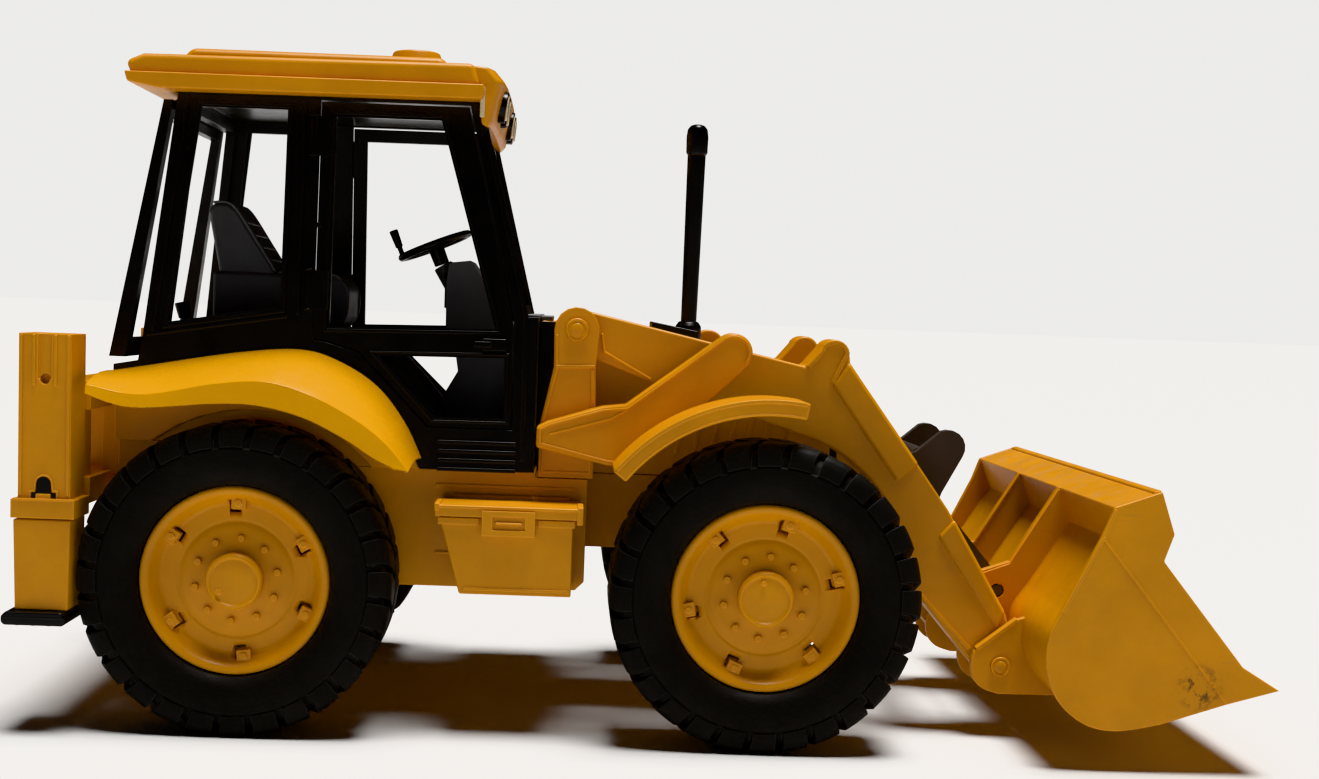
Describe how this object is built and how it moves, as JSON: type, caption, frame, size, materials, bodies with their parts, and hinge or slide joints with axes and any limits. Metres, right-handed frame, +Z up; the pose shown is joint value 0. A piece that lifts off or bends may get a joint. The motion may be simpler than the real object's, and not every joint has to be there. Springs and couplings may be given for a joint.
{
  "type": "toy backhoe loader",
  "caption": "Toy loader with an open cab, lifting and tilting front bucket, steered front wheels, opening doors and lids, and sliding rear stabilisers.",
  "frame": {"origin": "on the ground, midway between the two axles, on the vehicle's middle plane", "axes": "+X forwards towards the bucket, +Y to the vehicle's left, +Z up"},
  "size_m": [0.4063, 0.18, 0.2306],
  "materials": {
    "bucket": "satin warm yellow",
    "bucket_pin_left": "satin warm yellow",
    "bucket_pin_right": "satin warm yellow",
    "cab_frame": "satin black",
    "cab_roof": "satin warm yellow",
    "chassis": "satin warm yellow",
    "dashboard": "matt dark grey",
    "door_left": "satin black",
    "door_right": "satin black",
    "exhaust": "satin black",
    "front_axle": "satin warm yellow",
    "front_fender_left": "satin warm yellow",
    "front_fender_right": "satin warm yellow",
    "front_hub_cap_left": "satin warm yellow",
    "front_hub_cap_right": "satin warm yellow",
    "front_rim_left": "satin warm yellow",
    "front_rim_right": "satin warm yellow",
    "front_tyre_left": "matt, moulded soft tyre",
    "front_tyre_right": "matt, moulded soft tyre",
    "grille": "satin black",
    "hood": "satin warm yellow",
    "link_pin": "satin dark brownish grey",
    "loader_arms": "satin warm yellow",
    "loader_pin_left": "satin warm yellow",
    "loader_pin_right": "satin warm yellow",
    "loader_tower_left": "satin warm yellow",
    "loader_tower_right": "satin warm yellow",
    "rear_axle": "plain drawn wire",
    "rear_body": "satin warm yellow",
    "rear_fender_left": "glossy golden yellow",
    "rear_fender_right": "glossy golden yellow",
    "rear_frame": "satin warm yellow",
    "rear_hub_cap_left": "satin warm yellow",
    "rear_hub_cap_right": "satin warm yellow",
    "rear_rim_left": "satin warm yellow",
    "rear_rim_right": "satin warm yellow",
    "rear_tyre_left": "matt, moulded soft tyre",
    "rear_tyre_right": "matt, moulded soft tyre",
    "rear_window": "satin black",
    "roof_hatch": "satin warm yellow",
    "roof_visor": "satin warm yellow",
    "seat": "matt dark grey",
    "seat_base": "matt dark grey",
    "stabiliser_casing_left": "satin warm yellow",
    "stabiliser_casing_right": "satin warm yellow",
    "stabiliser_foot_left": "satin black",
    "stabiliser_foot_right": "satin black",
    "stabiliser_leg_left": "satin warm yellow",
    "stabiliser_leg_right": "satin warm yellow",
    "steering_knuckle_left": "satin black",
    "steering_knuckle_right": "satin black",
    "steering_wheel": "satin black",
    "tie_rod": "satin black",
    "tilt_crank": "satin dark brownish grey",
    "tilt_link": "satin dark brownish grey",
    "tilt_pin": "satin dark brownish grey",
    "toolbox_left": "satin warm yellow",
    "toolbox_lid_left": "satin warm yellow",
    "toolbox_lid_right": "satin warm yellow",
    "toolbox_right": "satin warm yellow"
  },
  "bodies": {
    "vehicle": {"cab_frame": "cab_frame", "cab_roof": "cab_roof", "chassis": "chassis", "dashboard": "dashboard", "exhaust": "exhaust", "front_axle": "front_axle", "front_fender_left": "front_fender_left", "front_fender_right": "front_fender_right", "grille": "grille", "hood": "hood", "loader_pin_left": "loader_pin_left", "loader_pin_right": "loader_pin_right", "loader_tower_left": "loader_tower_left", "loader_tower_right": "loader_tower_right", "rear_axle": "rear_axle", "rear_body": "rear_body", "rear_fender_left": "rear_fender_left", "rear_fender_right": "rear_fender_right", "rear_frame": "rear_frame", "roof_hatch": "roof_hatch", "roof_visor": "roof_visor", "seat_base": "seat_base", "stabiliser_casing_left": "stabiliser_casing_left", "stabiliser_casing_right": "stabiliser_casing_right", "toolbox_left": "toolbox_left", "toolbox_right": "toolbox_right"},
    "loader": {"loader_arms": "loader_arms"},
    "bucket": {"bucket": "bucket", "bucket_pin_right": "bucket_pin_right", "bucket_pin_left": "bucket_pin_left", "tilt_pin": "tilt_pin"},
    "tilt_crank": {"tilt_crank": "tilt_crank", "link_pin": "link_pin"},
    "tilt_link": {"tilt_link": "tilt_link"},
    "stabiliser_right": {"stabiliser_leg_right": "stabiliser_leg_right", "stabiliser_foot_right": "stabiliser_foot_right"},
    "stabiliser_left": {"stabiliser_leg_left": "stabiliser_leg_left", "stabiliser_foot_left": "stabiliser_foot_left"},
    "rear_window": {"rear_window": "rear_window"},
    "door_right": {"door_right": "door_right"},
    "door_left": {"door_left": "door_left"},
    "seat": {"seat": "seat"},
    "steering_wheel": {"steering_wheel": "steering_wheel"},
    "knuckle_right": {"steering_knuckle_right": "steering_knuckle_right"},
    "knuckle_left": {"steering_knuckle_left": "steering_knuckle_left"},
    "tie_rod": {"tie_rod": "tie_rod"},
    "toolbox_lid_right": {"toolbox_lid_right": "toolbox_lid_right"},
    "toolbox_lid_left": {"toolbox_lid_left": "toolbox_lid_left"},
    "front_wheel_right": {"front_rim_right": "front_rim_right", "front_tyre_right": "front_tyre_right", "front_hub_cap_right": "front_hub_cap_right"},
    "front_wheel_left": {"front_rim_left": "front_rim_left", "front_tyre_left": "front_tyre_left", "front_hub_cap_left": "front_hub_cap_left"},
    "rear_wheel_right": {"rear_rim_right": "rear_rim_right", "rear_tyre_right": "rear_tyre_right", "rear_hub_cap_right": "rear_hub_cap_right"},
    "rear_wheel_left": {"rear_rim_left": "rear_rim_left", "rear_tyre_left": "rear_tyre_left", "rear_hub_cap_left": "rear_hub_cap_left"}
  },
  "joints": [
    {"name": "loader_lift", "type": "hinge", "parent": "vehicle", "child": "loader", "pos_m": [0.0217, 0, 0.1344], "axis": [0, -1, 0], "range_deg": [0, 48]},
    {"name": "bucket_tilt", "type": "hinge", "parent": "loader", "child": "bucket", "pos_m": [0.1705, 0, 0.0249], "axis": [0, -1, 0], "range_deg": [-75, 8]},
    {"name": "crank_turn", "type": "hinge", "parent": "loader", "child": "tilt_crank", "pos_m": [0.1398, 0, 0.0604], "axis": [0, -1, 0], "range_deg": [-75, 8]},
    {"name": "link_turn", "type": "hinge", "parent": "tilt_crank", "child": "tilt_link", "pos_m": [0.1424, 0, 0.0835], "axis": [0, -1, 0], "range_deg": [-8, 75]},
    {"name": "stabiliser_slide_right", "type": "slide", "parent": "vehicle", "child": "stabiliser_right", "axis": [0, 0, -1], "range_m": [0, 0.035]},
    {"name": "stabiliser_slide_left", "type": "slide", "parent": "vehicle", "child": "stabiliser_left", "axis": [0, 0, -1], "range_m": [0, 0.035]},
    {"name": "rear_window_hinge", "type": "hinge", "parent": "vehicle", "child": "rear_window", "pos_m": [-0.1172, 0, 0.206], "axis": [0, 1, 0], "range_deg": [0, 70]},
    {"name": "door_hinge_right", "type": "hinge", "parent": "vehicle", "child": "door_right", "pos_m": [-0.068, -0.05155, 0.14], "axis": [0, -0.0885, -0.9961], "range_deg": [0, 45]},
    {"name": "door_hinge_left", "type": "hinge", "parent": "vehicle", "child": "door_left", "pos_m": [-0.068, 0.05155, 0.14], "axis": [0, -0.0885, 0.9961], "range_deg": [0, 45]},
    {"name": "seat_swivel", "type": "hinge", "parent": "vehicle", "child": "seat", "pos_m": [-0.0835, 0, 0.132], "axis": [0, 0, 1], "range_deg": [0, 180]},
    {"name": "steer_right", "type": "hinge", "parent": "vehicle", "child": "knuckle_right", "pos_m": [0.0853, -0.052, 0.0505], "axis": [0, 0, 1], "range_deg": [-18, 18]},
    {"name": "steer_left", "type": "hinge", "parent": "vehicle", "child": "knuckle_left", "pos_m": [0.0853, 0.052, 0.0505], "axis": [0, 0, 1], "range_deg": [-18, 18]},
    {"name": "tie_rod_slide", "type": "slide", "parent": "vehicle", "child": "tie_rod", "axis": [0, 1, 0], "range_m": [-0.0041, 0.0041]},
    {"name": "steering_wheel_turn", "type": "hinge", "parent": "vehicle", "child": "steering_wheel", "pos_m": [-0.0305, 0, 0.1622], "axis": [-0.3811, 0, 0.9245], "range_deg": [-55, 55]},
    {"name": "front_wheel_spin_right", "type": "hinge", "parent": "knuckle_right", "child": "front_wheel_right", "pos_m": [0.0853, -0.0675, 0.0505], "axis": [0, 1, 0], "continuous": true},
    {"name": "front_wheel_spin_left", "type": "hinge", "parent": "knuckle_left", "child": "front_wheel_left", "pos_m": [0.0853, 0.0675, 0.0505], "axis": [0, 1, 0], "continuous": true},
    {"name": "rear_wheel_spin_right", "type": "hinge", "parent": "vehicle", "child": "rear_wheel_right", "pos_m": [-0.0853, -0.0675, 0.0505], "axis": [0, 1, 0], "continuous": true},
    {"name": "rear_wheel_spin_left", "type": "hinge", "parent": "vehicle", "child": "rear_wheel_left", "pos_m": [-0.0853, 0.0675, 0.0505], "axis": [0, 1, 0], "continuous": true},
    {"name": "toolbox_lid_hinge_right", "type": "hinge", "parent": "vehicle", "child": "toolbox_lid_right", "pos_m": [0, -0.0502, 0.0768], "axis": [-1, 0, 0], "range_deg": [0, 50]},
    {"name": "toolbox_lid_hinge_left", "type": "hinge", "parent": "vehicle", "child": "toolbox_lid_left", "pos_m": [0, 0.0502, 0.0768], "axis": [1, 0, 0], "range_deg": [0, 50]}
  ],
  "couplings": [
    {"joint": "crank_turn", "follows": "bucket_tilt", "ratio": 1},
    {"joint": "link_turn", "follows": "bucket_tilt", "ratio": -1},
    {"joint": "steer_left", "follows": "steer_right", "ratio": 1},
    {"joint": "tie_rod_slide", "follows": "steer_right", "m_per_rad": -0.0128},
    {"joint": "steering_wheel_turn", "follows": "steer_right", "ratio": 3}
  ]
}
